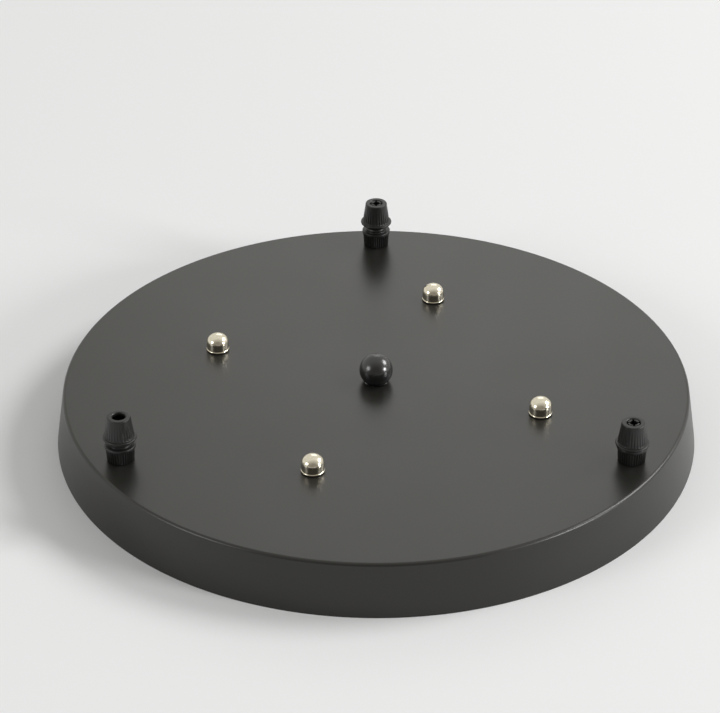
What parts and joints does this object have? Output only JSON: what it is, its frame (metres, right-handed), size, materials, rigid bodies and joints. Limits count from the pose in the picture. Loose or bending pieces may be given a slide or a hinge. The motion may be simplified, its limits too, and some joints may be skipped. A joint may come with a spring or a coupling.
{
  "type": "light fixture ceiling canopy",
  "caption": "Round black ceiling canopy for pendant lamps: pressed pan, screw-down cord grips, domed nuts, centre ball and a mounting cross inside.",
  "frame": {"origin": "centre of the open rim's plane, which meets the ceiling when it is fixed and the table as it lies here", "axes": "+Z out through the show face; +Y towards the back cord grip; +X to its right, seen from the front"},
  "size_m": [0.3, 0.3, 0.0489],
  "materials": {
    "powder_coat": "satin black powder coat",
    "black_plastic": "moulded black plastic",
    "gloss_black": "glossy black",
    "nickel": "bright nickel plate",
    "zinc": "zinc-plated steel",
    "brass": "plain brass"
  },
  "bodies": {
    "canopy": {"canopy_pan": "powder_coat", "grip_body_back": "black_plastic", "grip_body_left": "black_plastic", "grip_body_right": "black_plastic", "grip_lock_nut_back": "zinc", "grip_lock_nut_left": "zinc", "grip_lock_nut_right": "zinc", "cap_nut_1": "nickel", "cap_nut_2": "nickel", "cap_nut_3": "nickel", "cap_nut_4": "nickel", "bracket_screw_1": "zinc", "bracket_screw_2": "zinc", "bracket_screw_3": "zinc", "bracket_screw_4": "zinc", "centre_ball": "gloss_black", "centre_washer": "zinc", "centre_screw": "zinc", "cross_strip_lower": "zinc", "cross_strip_upper": "zinc", "cross_rivet": "zinc", "earth_washer": "brass", "earth_screw": "brass"},
    "back_lift": {"grip_collet_back": "black_plastic"},
    "back_cap": {"grip_cap_back": "black_plastic"},
    "left_lift": {"grip_collet_left": "black_plastic"},
    "left_cap": {"grip_cap_left": "black_plastic"},
    "right_lift": {"grip_collet_right": "black_plastic"},
    "right_cap": {"grip_cap_right": "black_plastic"}
  },
  "joints": [
    {"name": "grip_back_lift", "type": "slide", "parent": "canopy", "child": "back_lift", "axis": [0, 0, 1], "range_m": [-0.0036, 0.0009]},
    {"name": "grip_back_turn", "type": "hinge", "parent": "back_lift", "child": "back_cap", "pos_m": [0, 0.132, 0.0376], "axis": [0, 0, 1], "range_deg": [-864, 216]},
    {"name": "grip_left_lift", "type": "slide", "parent": "canopy", "child": "left_lift", "axis": [0, 0, 1], "range_m": [-0.0028, 0.0017]},
    {"name": "grip_left_turn", "type": "hinge", "parent": "left_lift", "child": "left_cap", "pos_m": [-0.11431, -0.066, 0.0368], "axis": [0, 0, 1], "range_deg": [-672, 408]},
    {"name": "grip_right_lift", "type": "slide", "parent": "canopy", "child": "right_lift", "axis": [0, 0, 1], "range_m": [0, 0.0045]},
    {"name": "grip_right_turn", "type": "hinge", "parent": "right_lift", "child": "right_cap", "pos_m": [0.11431, -0.066, 0.034], "axis": [0, 0, 1], "range_deg": [0, 1080]}
  ],
  "couplings": [
    {"joint": "grip_back_lift", "follows": "grip_back_turn", "m_per_rad": 0.0002387},
    {"joint": "grip_left_lift", "follows": "grip_left_turn", "m_per_rad": 0.0002387},
    {"joint": "grip_right_lift", "follows": "grip_right_turn", "m_per_rad": 0.0002387}
  ]
}
